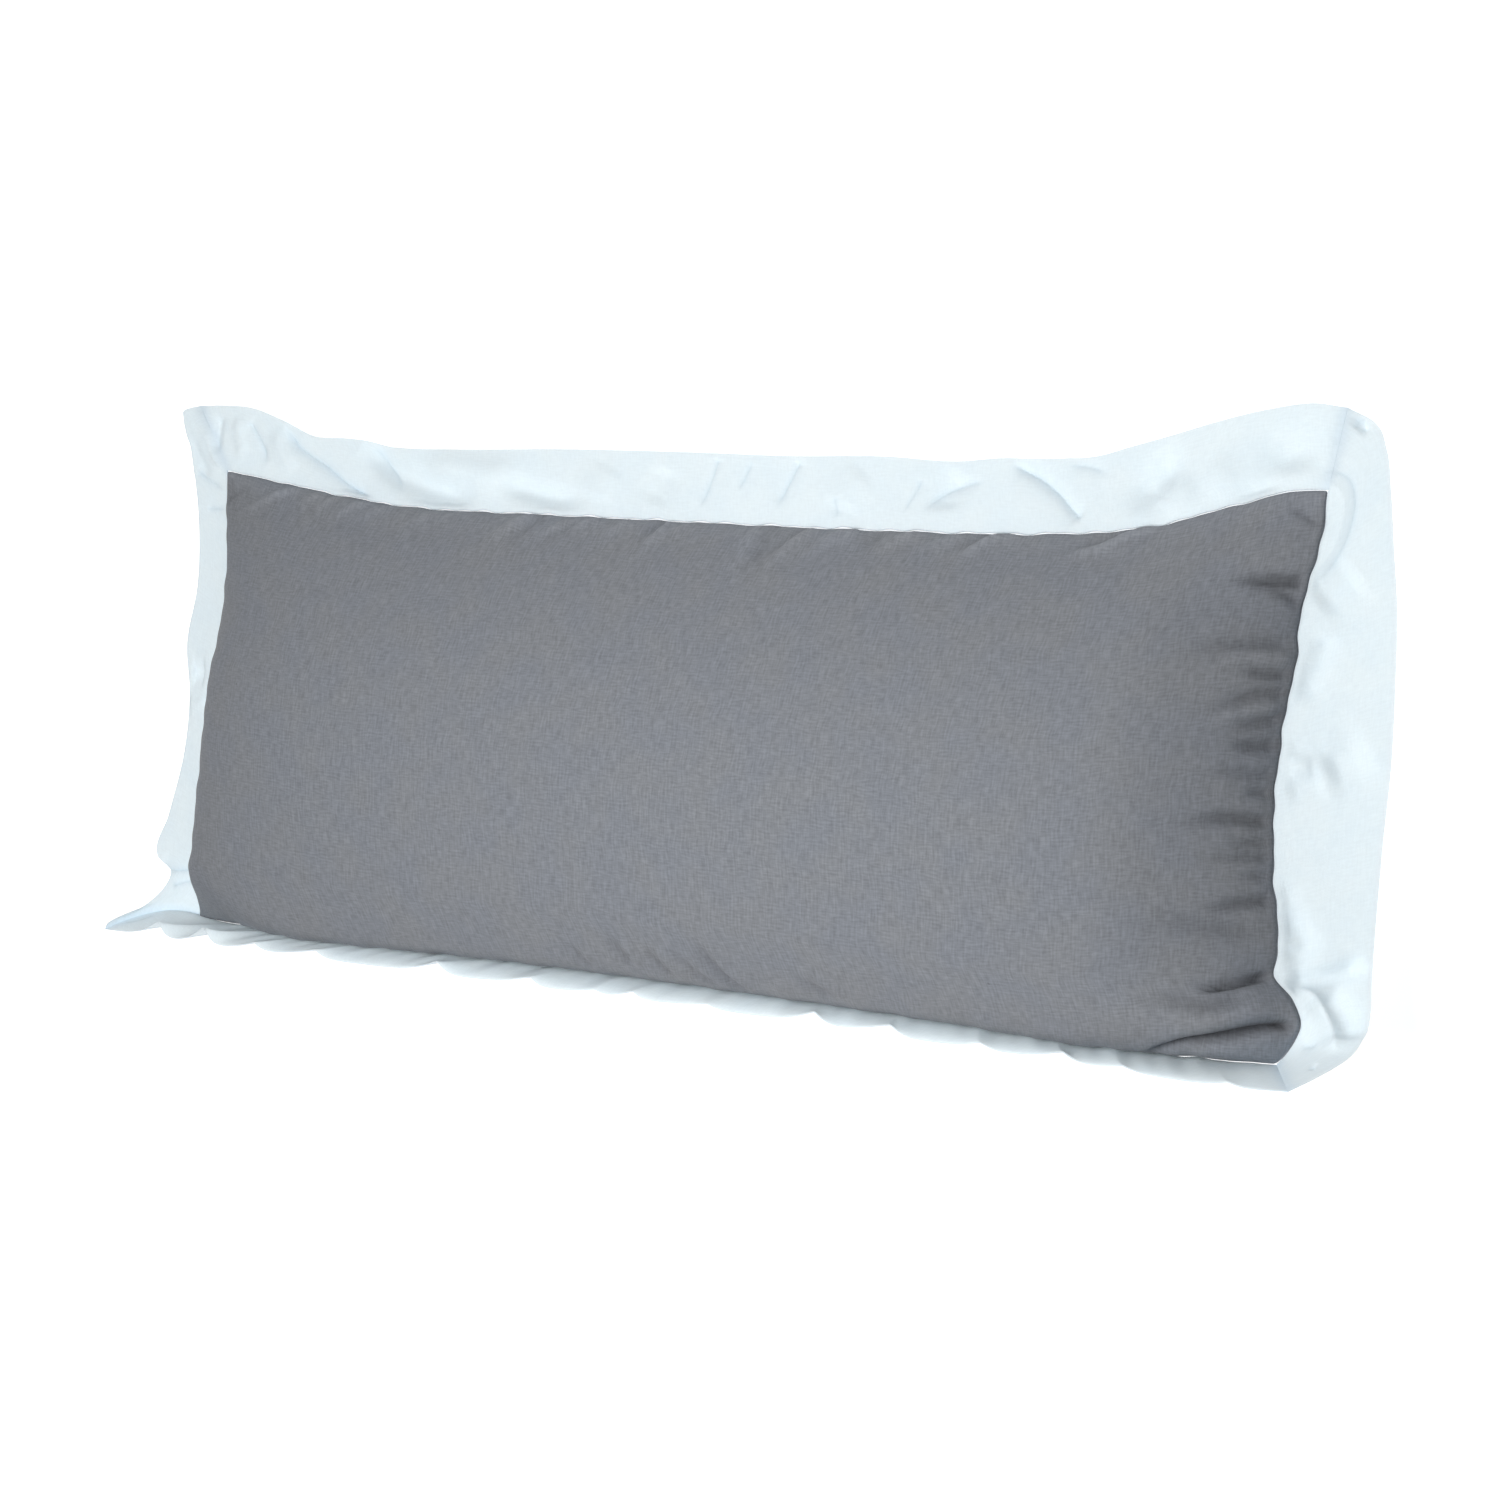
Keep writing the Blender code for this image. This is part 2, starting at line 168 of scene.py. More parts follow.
def body_points(u, v, face):
    """Points of the body's face, or of its back, for u along the pillow and v up it."""
    corner = {name: np.array(point) + SEAM_MIDDLE for name, point in SEAM_CORNERS.items()}
    along, up = u[..., None], v[..., None]
    points = lerp(seam_line("left", v), seam_line("right", v), along)
    points = points + lerp(seam_line("lower", u), seam_line("upper", u), up)
    low = lerp(corner["lower_left"], corner["lower_right"], along)
    high = lerp(corner["upper_left"], corner["upper_right"], along)
    points = points - lerp(low, high, up)
    steepness = LEFT_STEEPNESS[0]
    if face:
        steepness = lerp(*LEFT_STEEPNESS, np.clip((v - STEEPER_FROM) / STEEPER_OVER, 0, 1))
    lengthwise = rounded(u, LEFT_ROUNDING, steepness)
    if face:
        # The filling doesn't reach so far into the right end, so the face is rounder there
        rounding = lerp(*RIGHT_ROUNDING, np.clip((v - FULLER_FROM) / FULLER_OVER, 0, 1))
        lengthwise = np.where(u < 0.5, lengthwise, rounded(u, rounding, RIGHT_STEEPNESS))
    crosswise = rounded(v**CROWN_SHIFT if face else v, SIDE_ROUNDING, SIDE_STEEPNESS)
    # The lower side is plump, and the upper corners and the lower left one run out into points
    both = lengthwise * crosswise
    plump = math.sqrt(2) * both / np.maximum(np.hypot(lengthwise, crosswise), 1e-9)
    pointed = (1 - ease(v / POINT_HEIGHT)) * (1 - ease(u / POINT_LENGTH))
    swell = lerp(plump, both, np.maximum(v, pointed))
    if face:
        ends = np.sin(math.pi * v**BULGE_SHIFT)
        lower = smooth_curve(LOWER_BULGE, u)[..., 0]
        for side, inset, fullness in (("left", u, ends), ("right", 1 - u, ends), ("lower", v, lower)):
            bulge, reach = BULGES[side]
            near = inset / reach
            out = bulge * near * np.exp(1 - near) * fullness
            points = points + np.array(SIDES[side][2]) * out[..., None]
        points[..., 2] += RIM / 2 + CROWN * swell
        return points
    full = 2 - PRESS_START
    share = np.minimum(BACK_FULLNESS * swell, full)
    eased = np.maximum(share - PRESS_START, 0) ** 2 / (2 * (full - PRESS_START))
    depth = BACK_DEPTH * (share - eased)
    height = points[..., 2] - SEAM_MIDDLE[2] - RIM / 2
    points[..., 2] = SEAM_MIDDLE[2] + height * (1 - depth / BACK_DEPTH) - depth
    return points


def crowded(count, crowding):
    """Places from 0 to 1, closer together towards both ends."""
    even = np.linspace(0, 1, count + 1)
    return lerp(even, 0.5 - 0.5 * np.cos(math.pi * even), crowding)


def paced_out(points):
    """How far each point of a grid lies along and up the cloth from the grid's middle, in metres."""
    measured = []
    for axis in (1, 0):
        steps = np.linalg.norm(np.diff(points, axis=axis), axis=2)
        first = np.zeros_like(np.take(steps, [0], axis=axis))
        run = np.concatenate((first, np.cumsum(steps, axis=axis)), axis=axis)
        measured.append(run - np.take(run, [points.shape[axis] // 2], axis=axis))
    return np.stack(measured, axis=-1)


def cloth_grid(name, points, **attributes):
    """A sheet of cloth from rows of points, laid on a grid of the same size, with these attributes."""
    rows, columns = points.shape[0] - 1, points.shape[1] - 1
    bpy.ops.mesh.primitive_grid_add(x_subdivisions=columns, y_subdivisions=rows, size=2, location=(0, 0, 0))
    piece = bpy.context.object
    piece.name = piece.data.name = name
    flat = np.empty(len(piece.data.vertices) * 3)
    piece.data.vertices.foreach_get("co", flat)
    flat = flat.reshape(-1, 3)
    column = np.rint((flat[:, 0] + 1) / 2 * columns).astype(int)
    row = np.rint((flat[:, 1] + 1) / 2 * rows).astype(int)
    piece.data.vertices.foreach_set("co", points[row, column].ravel())
    # The weave follows the cloth, so its map is paced out over the points, in metres
    corners = np.empty(len(piece.data.loops), int)
    piece.data.loops.foreach_get("vertex_index", corners)
    paces = paced_out(points)[row, column][corners]
    piece.data.uv_layers[0].data.foreach_set("uv", paces.ravel())
    for attribute, values in attributes.items():
        marks = piece.data.attributes.new(attribute, "FLOAT", "POINT")
        marks.data.foreach_set("value", values[row, column])
    piece.data.update()
    return piece


def finished(piece, *modifiers):
    """Shades the piece smooth, adds these modifiers, as (type, settings), and applies them."""
    bpy.ops.object.select_all(action="DESELECT")
    piece.select_set(True)
    bpy.context.view_layer.objects.active = piece
    bpy.ops.object.shade_smooth()
    for kind, settings in modifiers:
        modifier = piece.modifiers.new(kind.title(), kind)
        for setting, value in settings.items():
            setattr(modifier, setting, value)
        bpy.ops.object.modifier_apply(modifier=modifier.name)
    return piece


columns = crowded(BODY_COLUMNS, COLUMN_CROWDING)[None, :]
rows = crowded(BODY_ROWS, ROW_CROWDING)[:, None]
u, v = np.broadcast_arrays(columns, rows)
cushion = cloth_grid("filled_body", body_points(u, v, True))
cloth_grid("body_back", body_points(u, v, False))
cushion.select_set(True)
bpy.context.view_layer.objects.active = cushion
bpy.ops.object.join()
# The rim sews the two panels together round the edge
bpy.ops.object.mode_set(mode="EDIT")
bpy.ops.mesh.select_mode(type="EDGE")
bpy.ops.mesh.select_all(action="DESELECT")
bpy.ops.mesh.select_non_manifold(extend=False)
bpy.ops.mesh.bridge_edge_loops()
bpy.ops.mesh.select_all(action="SELECT")
bpy.ops.mesh.normals_make_consistent(inside=False)
bpy.ops.object.mode_set(mode="OBJECT")
finished(cushion, ("SUBSURF", {"levels": 1, "render_levels": 1}))

# The folds of the filled body: small gathers where the upper seam draws the cotton in, deeper ones over
# the right end, and two deep folds in the lower right corner. Each row gives how far the cloth stands out
# of the surface, or in where it is under 0, its half width, the shares of its length over which it comes
# and goes, and its route, in mm. The gathers are sewn in, so their routes begin on the seam.
UPPER_GATHERS = (
    # rise, half width, come, go, route
    (2.7, 3.8, 0.05, 0.7, (-395, 139, 74), (-415, 129, 80), (-437, 120, 80)),
    (2.1, 3, 0.05, 0.7, (-357, 140, 69), (-366, 135, 75), (-373, 128, 80)),
    (2.1, 3, 0.05, 0.7, (-341, 138, 69), (-349, 132, 75), (-358, 124, 82)),
    (2.4, 3.8, 0.05, 0.7, (-316, 133, 71), (-328, 125, 79), (-342, 112, 90)),
    (1.8, 3, 0.05, 0.7, (-296, 130, 72), (-308, 123, 79), (-318, 115, 86)),
    (1.8, 4.5, 0.05, 0.7, (-250, 125, 74), (-262, 115, 83), (-269, 104, 92)),
    (1.5, 3.8, 0.05, 0.7, (-225, 128, 70), (-233, 124, 74), (-239, 119, 79)),
    (3, 4.5, 0.05, 0.7, (-164, 123, 74), (-175, 114, 83), (-186, 95, 97)),
    (-2.4, 3.8, 0.05, 0.7, (-155, 119, 78), (-162, 110, 85), (-169, 102, 92)),
    (2.4, 3.8, 0.05, 0.7, (-123, 123, 74), (-137, 115, 81), (-156, 104, 90)),
    (-2.1, 3.8, 0.05, 0.7, (-121, 119, 77), (-129, 112, 84), (-139, 107, 88)),
    (2.4, 3.8, 0.05, 0.7, (-105, 123, 73), (-115, 116, 80), (-126, 108, 87)),
    (2.4, 3.8, 0.05, 0.7, (-75, 124, 72), (-82, 116, 80), (-88, 107, 87)),
    (-3.3, 3.8, 0.05, 0.7, (-45, 124, 70), (-49, 117, 78), (-53, 108, 86)),
    (3, 3.8, 0.05, 0.7, (-38, 123, 72), (-42, 110, 84), (-51, 92, 98)),
    (1.5, 3, 0.05, 0.7, (-23, 123, 72), (-29, 119, 76), (-34, 114, 81)),
    (2.2, 5.2, 0.05, 0.7, (38, 117, 77), (38, 100, 91), (32, 81, 105)),
    (-1.9, 5.2, 0.05, 0.7, (49, 111, 82), (49, 97, 93), (51, 81, 104)),
    (2.7, 4.5, 0.05, 0.7, (76, 119, 74), (66, 103, 88), (59, 87, 100)),
    (-2.1, 4.5, 0.05, 0.7, (66, 119, 74), (58, 107, 86), (52, 93, 96)),
    (2.7, 4.5, 0.05, 0.7, (103, 119, 73), (90, 107, 85), (80, 92, 96)),
    (1.8, 3.8, 0.05, 0.7, (113, 119, 74), (108, 114, 78), (104, 109, 83)),
    (-2.4, 5.2, 0.05, 0.7, (132, 117, 75), (130, 112, 81), (127, 105, 86)),
    (2.4, 3.8, 0.05, 0.7, (156, 121, 71), (142, 110, 82), (134, 102, 89)),
    (1.8, 3.8, 0.05, 0.7, (188, 119, 73), (177, 113, 79), (168, 105, 86)),
    (-2.7, 3.8, 0.05, 0.7, (210, 122, 69), (201, 114, 78), (192, 103, 88)),
    (3.3, 4.5, 0.05, 0.7, (226, 123, 69), (209, 112, 80), (196, 100, 90)),
    (-3, 4.5, 0.05, 0.7, (301, 123, 72), (276, 112, 81), (265, 105, 87)),
    (3.6, 4.5, 0.05, 0.7, (322, 126, 71), (303, 116, 79), (277, 110, 83), (269, 102, 89)),
    (-2.4, 5.2, 0.3, 0.5, (-446, 138, 72), (-435, 143, 72), (-423, 144, 72)),
)
RIGHT_GATHERS = (
    # rise, half width, come, go, route
    (-2.2, 3, 0.1, 0.4, (441, 139, 70), (434, 143, 70), (425, 146, 69)),
    (-5.0, 3.5, 0.1, 0.6, (440, 100, 71), (431, 100, 78), (419, 100, 85), (406, 100, 90), (392, 100, 93)),
    (-2.4, 8, 0.2, 0.6, (440, 98, 71), (419, 98, 84), (402, 98, 90)),
    (-3.0, 3, 0.1, 0.6, (439, 86, 72), (431, 92, 80), (422, 97, 86)),
    (-3.0, 5, 0.2, 0.6, (436, 61, 76), (423, 61, 89), (403, 58, 101), (387, 49, 110), (375, 43, 116)),
    (1.6, 4, 0.2, 0.5, (431, 53, 82), (418, 53, 93), (404, 50, 103)),
    (-4.0, 3.5, 0.1, 0.6, (436, 43, 75), (421, 43, 92), (407, 45, 103)),
    (-3.6, 3.5, 0.1, 0.6, (435, 32, 75), (427, 30, 87), (420, 27, 94), (404, 19, 107), (390, 17, 116)),
    (-3.8, 3.5, 0.1, 0.6, (433, 16, 76), (422, 11, 91), (406, 6, 106)),
    (1.4, 4, 0.2, 0.5, (420, 20, 94), (404, 14, 107), (392, 11, 115)),
    (-4.6, 4.5, 0.1, 0.5, (432, -1, 78), (423, -2, 91), (410, -4, 105)),
    (-2.6, 4, 0.1, 0.6, (431, -19, 79), (417, -19, 98), (397, -22, 115)),
    (-3.0, 3, 0.1, 0.5, (431, -30, 79), (419, -31, 96)),
    (-5.0, 3.8, 0.1, 0.6, (432, -47, 80), (416, -47, 100), (401, -50, 113), (386, -57, 123)),
    (-3.4, 3.5, 0.1, 0.6, (433, -60, 81), (424, -62, 94), (412, -65, 107)),
    (-3.2, 3.5, 0.1, 0.7, (434, -69, 82), (425, -70, 95), (398, -74, 118)),
    (-2.8, 3, 0.1, 0.6, (436, -81, 81), (429, -81, 91), (419, -82, 101)),
    (-5.0, 4, 0.1, 0.6, (438, -95, 84), (424, -99, 100), (414, -102, 110), (400, -104, 118)),
    (-3.0, 6, 0.3, 0.6, (433, -115, 94), (413, -114, 111), (395, -113, 122), (373, -112, 131),
     (362, -111, 135)),
)
BODY_FOLDS = (
    # rise, half width, come, go, route
    # the upper half of the face
    (-0.5, 14, 0.4, 0.4, (-299, 54, 120), (-251, 57, 119), (-202, 58, 118)),
    (-0.5, 12, 0.4, 0.4, (-87, 51, 121), (-48, 50, 122), (-8, 49, 122)),
    # the lower right corner
    (-2.0, 5, 0.1, 0.5, (442, -141, 84), (434, -144, 96), (423, -148, 108), (406, -154, 121)),
    (-8.0, 2.0, 0.04, 0.4, (442, -141, 84), (434, -144, 96), (423, -148, 108), (406, -154, 121)),
    (-4.0, 5, 0.2, 0.6, (433, -147, 100), (429, -156, 111), (421, -160, 116), (400, -160, 125),
     (367, -163, 132)),
    (-6.0, 5, 0.05, 0.4, (462, -170, 87), (450, -171, 100), (429, -179, 113), (398, -189, 116),
     (366, -194, 100)),
    (-7.0, 2.4, 0.05, 0.3, (462, -170, 87), (450, -171, 100), (429, -179, 113), (398, -189, 116),
     (366, -194, 100)),
    (3.0, 7, 0.2, 0.5, (455, -159, 92), (440, -163, 108), (416, -171, 118), (384, -179, 122)),
    # the lower side
    (-2.4, 5.2, 0.5, 0.2, (-64, -165, 130), (-54, -173, 124), (-46, -184, 112)),
    (2.1, 5.2, 0.5, 0.2, (-58, -164, 130), (-46, -173, 124), (-38, -184, 112)),
    (-2.9, 5.2, 0.5, 0.2, (-27, -156, 134), (-16, -166, 129), (-7, -179, 119)),
    (2.4, 5.2, 0.5, 0.2, (-19, -155, 134), (-8, -166, 129), (1, -179, 119)),
    (-3.2, 5.2, 0.5, 0.2, (3, -162, 132), (15, -173, 126), (24, -184, 115)),
    (2.6, 5.2, 0.5, 0.2, (11, -162, 132), (22, -172, 126), (32, -183, 116)),
    (-2.6, 5.2, 0.5, 0.2, (26, -162, 132), (37, -172, 127), (47, -181, 119), (60, -186, 112)),
    (-3.8, 6.5, 0.5, 0.2, (46, -151, 137), (57, -164, 132), (67, -177, 123), (84, -188, 110)),
    (3.2, 5.2, 0.5, 0.2, (54, -148, 138), (65, -162, 133), (76, -175, 125), (92, -186, 112)),
    (1.6, 3.9, 0.4, 0.2, (108, -177, 126), (118, -184, 118)),
    (-2.9, 6.5, 0.5, 0.2, (127, -171, 130), (143, -178, 126), (156, -184, 120)),
    (2.6, 5.2, 0.5, 0.2, (131, -167, 132), (149, -175, 127), (164, -182, 121)),
)
ROUTE_STEP = 0.0015  # m between the close points of a route, of which there are at least 8
FOLD_FALL = (2.6, 2)  # the half widths after which a soft fold has died out, and the power of its fall
CREASE_FALL = (4.5, 1)  # the same for a sharp crease
SEAM_STEPS = 400  # points along each side of the seam
SEAM_HOLD = 0.004  # m, the folds die out over this distance from the sewn seam
PAINTED_SHADE_DEPTH = 8  # mm, the depth at which a gather gets full painted shade, and the rise at which a ridge gets full painted light
PAINTED_SHADE_FOLD = -2  # mm, a fold deeper than this gets painted shade like the gathers
PAINTED_HOLLOW_SHADE = 0.21  # of the full painted shade
HOLLOW_START, HOLLOW_RISE = 0.330, 0.050  # m along the pillow
HOLLOW_LOW, HOLLOW_HIGH, HOLLOW_FADE = -0.175, 0.115, 0.05  # m up the pillow
PAINTED_SEAM_LIGHT, PAINTED_SEAM_REACH = 0.28, 0.026  # painted light along the upper seam, as a share of the full painted shade, and m from the seam over which it reaches


def route_points(route):
    """Close points on a smooth curve through a route given in mm."""
    points = np.array(route, float) / 1000
    run = np.concatenate(([0], np.cumsum(np.linalg.norm(np.diff(points, axis=0), axis=1))))
    knots = list(zip(run / run[-1], points))
    return smooth_curve(knots, np.linspace(0, 1, max(8, int(run[-1] / ROUTE_STEP))))


def fold_heights(points, surface, folds, sharp=False):
    """How far each point is pushed along its normal by the folds, whose routes are dropped on the surface.
    A sharp one is a crease, which falls away from a crisp line."""
    heights = np.zeros(len(points))
    reach, power = CREASE_FALL if sharp else FOLD_FALL
    for rise, half_width, come, go, *route in folds:
        line = np.array([surface.find_nearest(Vector(point))[0] for point in route_points(route)])
        width = half_width / 1000
        inside = (points > line.min(axis=0) - reach * width) & (points < line.max(axis=0) + reach * width)
        near = np.flatnonzero(inside.all(axis=1))
        closest = np.linalg.norm(points[near, None] - line[None], axis=2).argmin(axis=1)
        onward = np.gradient(line, axis=0)[closest]
        apart = points[near] - line[closest]
        past = (apart * onward).sum(axis=1) / np.maximum((onward**2).sum(axis=1), 1e-12)
        past = np.clip(past, -0.5, 0.5)
        away = np.linalg.norm(apart - onward * past[:, None], axis=1)
        place = (closest + past) / (len(line) - 1)
        strength = ease(place / come) * ease((1 - place) / go)
        heights[near] += rise / 1000 * strength * np.exp(-((away / width) ** power))
    return heights


def mesh_arrays(piece):
    """A piece's points and normals, as arrays."""
    count = len(piece.data.vertices)
    points, normals = np.empty(count * 3), np.empty(count * 3)
    piece.data.vertices.foreach_get("co", points)
    piece.data.vertices.foreach_get("normal", normals)
    return points.reshape(-1, 3), normals.reshape(-1, 3)


def surface_of(piece):
    """The piece's surface, to drop points on."""
    return BVHTree.FromPolygons(
        [vertex.co[:] for vertex in piece.data.vertices],
        [polygon.vertices[:] for polygon in piece.data.polygons],
    )


points, normals = mesh_arrays(cushion)
surface = surface_of(cushion)
seams = {side: seam_line(side, np.linspace(0, 1, SEAM_STEPS)) for side in SIDES}
# A gather begins on the seam, a little before the first point of its route
gathers = []
for side, side_gathers in (("upper", UPPER_GATHERS), ("right", RIGHT_GATHERS)):
    stitches = seams[side] * 1000
    for rise, half_width, come, go, *route in side_gathers:
        before = 2 * np.array(route[0]) - route[1]
        start = stitches[np.linalg.norm(stitches - before, axis=1).argmin()]
        gathers.append((rise, half_width, come, go, start, *route))
heights = fold_heights(points, surface, gathers + list(BODY_FOLDS))
# Painted shade deep in a gather, where the cloth lies against itself, and painted light on its ridge, where
# it catches the light
painted_shade = gathers + [fold for fold in BODY_FOLDS if fold[0] < PAINTED_SHADE_FOLD]
painted_toning = fold_heights(points, surface, painted_shade) * 1000 / PAINTED_SHADE_DEPTH
# The hollow of the right end, between the crown and the corners, gets painted shade all over
along, up = points[:, 0], points[:, 1]
on_face = points[:, 2] > SEAM_MIDDLE[2]
hollow = ease((along - HOLLOW_START) / HOLLOW_RISE) * ease((HOLLOW_HIGH - up) / HOLLOW_FADE)
hollow *= ease((up - HOLLOW_LOW) / HOLLOW_FADE) * on_face
# The roll to the upper seam gets a little painted light
below = np.interp(along, seams["upper"][:, 0], seams["upper"][:, 1]) - up
painted_seam_light = (1 - ease(below / PAINTED_SEAM_REACH)) * on_face
painted_toning = np.clip(painted_toning - PAINTED_HOLLOW_SHADE * hollow + PAINTED_SEAM_LIGHT * painted_seam_light, -1, 1)
# The stitches hold the folds flat beside the seam
seam = np.concatenate(list(seams.values()))
moved = np.flatnonzero(heights)
away = np.array([np.linalg.norm(seam - points[index], axis=1).min() for index in moved])
heights[moved] *= ease((away - RIM / 2) / SEAM_HOLD)
points += normals * heights[:, None]
cushion.data.vertices.foreach_set("co", points.ravel())
marks = cushion.data.attributes.new("painted_light_and_shade", "FLOAT", "POINT")
marks.data.foreach_set("value", painted_toning)
cushion.data.update()


def linear(hexcode):
    """An sRGB hex colour as the linear one that a shader takes."""
    channels = [int(hexcode[start : start + 2], 16) / 255 for start in (1, 3, 5)]
    return [c / 12.92 if c <= 0.04045 else ((c + 0.055) / 1.055) ** 2.4 for c in channels] + [1]


def node(tree, kind, inputs=None, **settings):
    """Adds a node with its own settings, and with values or other nodes' outputs on its inputs."""
    made = tree.nodes.new("ShaderNode" + kind)
    for name, value in settings.items():
        setattr(made, name, value)
    for socket, value in (inputs or {}).items():
        if isinstance(value, bpy.types.NodeSocket):
            tree.links.new(value, made.inputs[socket])
        else:
            made.inputs[socket].default_value = value
    return made


THREAD = 0.0009  # m between threads, drawn twice as coarse as the real 0.45 mm so that it shows


def plain_weave(tree, uv, warp_slubs, weft_slubs, contrast):
    """The slubs of a plain weave, as a share of its colour, and the height of its threads. The slubs of
    the warp and of the weft are given by how many there are in a metre along the pillow and up it."""
    slubs, waves = [], []
    for per_metre in (warp_slubs, weft_slubs):
        way = node(tree, "Mapping", {"Vector": uv, "Scale": (*per_metre, 1)}).outputs[0]
        slubs.append(node(tree, "TexNoise", {"Vector": way, "Scale": 1.0, "Detail": 2.0}).outputs[0])
    both = node(tree, "Math", {0: slubs[0], 1: slubs[1]}, operation="ADD").outputs[0]
    spread = {"From Min": 0.70, "From Max": 1.30, "To Min": 1 - contrast, "To Max": 1 + contrast}
    shade = node(tree, "MapRange", {"Value": both, **spread}).outputs[0]
    # A wave of scale 1 is pi / 10 m long
    for direction in ("X", "Y"):
        wave = {"Vector": uv, "Scale": math.pi / 10 / THREAD, "Distortion": 0.8}
        waves.append(node(tree, "TexWave", wave, bands_direction=direction).outputs[1])
    threads = node(tree, "Math", {0: waves[0], 1: waves[1]}, operation="MULTIPLY").outputs[0]
    return shade, threads


# Plain-woven grey cotton, dyed in the piece: matt, with long light and dark slubs along both threads, a
# faint drift between a cooler and a warmer grey and a few dark neps. Over the dye lies painted shade deep
# in its gathers and in the hollow of its right end, and painted light on their ridges and along the upper
# seam.
grey_cotton = bpy.data.materials.new("grey_plain_weave_cotton")
grey_cotton.use_nodes = True
tree = grey_cotton.node_tree
shader = tree.nodes["Principled BSDF"]
uv = node(tree, "TexCoord").outputs["UV"]
slubs, threads = plain_weave(tree, uv, (700, 90), (140, 760), 0.18)
drift = node(tree, "TexNoise", {"Vector": uv, "Scale": 24.0, "Detail": 2.0}).outputs[0]
drift = node(tree, "MapRange", {"Value": drift, "From Min": 0.38, "From Max": 0.62}).outputs[0]
dye = node(tree, "MixRGB", {"Fac": drift, "Color1": linear("#80848B"), "Color2": linear("#82858A")})
dyed = node(tree, "VectorMath", {0: dye.outputs[0], "Scale": slubs}, operation="SCALE").outputs[0]
nep = node(tree, "TexVoronoi", {"Vector": uv, "Scale": 16.0, "Randomness": 1.0}).outputs["Distance"]
dark_speck = {"From Min": 0.010, "From Max": 0.018, "To Min": 0.72, "To Max": 1.0}
nep = node(tree, "MapRange", {"Value": nep, **dark_speck}).outputs[0]
dyed = node(tree, "VectorMath", {0: dyed, "Scale": nep}, operation="SCALE").outputs[0]
# painted light and shade: darker deep in the gathers and folds and in the right end's hollow, lighter on
# the gathers' ridges and along the upper seam
painted_shade = node(tree, "Attribute", attribute_name="painted_light_and_shade").outputs["Fac"]
full_painted_shade = {"From Min": -1.0, "To Min": 0.55, "To Max": 1.45}
painted_shade = node(tree, "MapRange", {"Value": painted_shade, **full_painted_shade}).outputs[0]
dyed = node(tree, "VectorMath", {0: dyed, "Scale": painted_shade}, operation="SCALE").outputs[0]
tree.links.new(dyed, shader.inputs["Base Color"])
cloth = node(tree, "Math", {0: threads, 1: slubs}, operation="ADD").outputs[0]
bump = node(tree, "Bump", {"Strength": 0.35, "Distance": 0.0004, "Height": cloth})
tree.links.new(bump.outputs[0], shader.inputs["Normal"])
shader.inputs["Roughness"].default_value = 0.93
shader.inputs["Specular IOR Level"].default_value = 0.25
shader.inputs["Sheen Weight"].default_value = 0.10
shader.inputs["Sheen Roughness"].default_value = 0.5

cushion.data.materials.clear()
cushion.data.materials.append(grey_cotton)
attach(cushion, "root")
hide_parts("cushion")

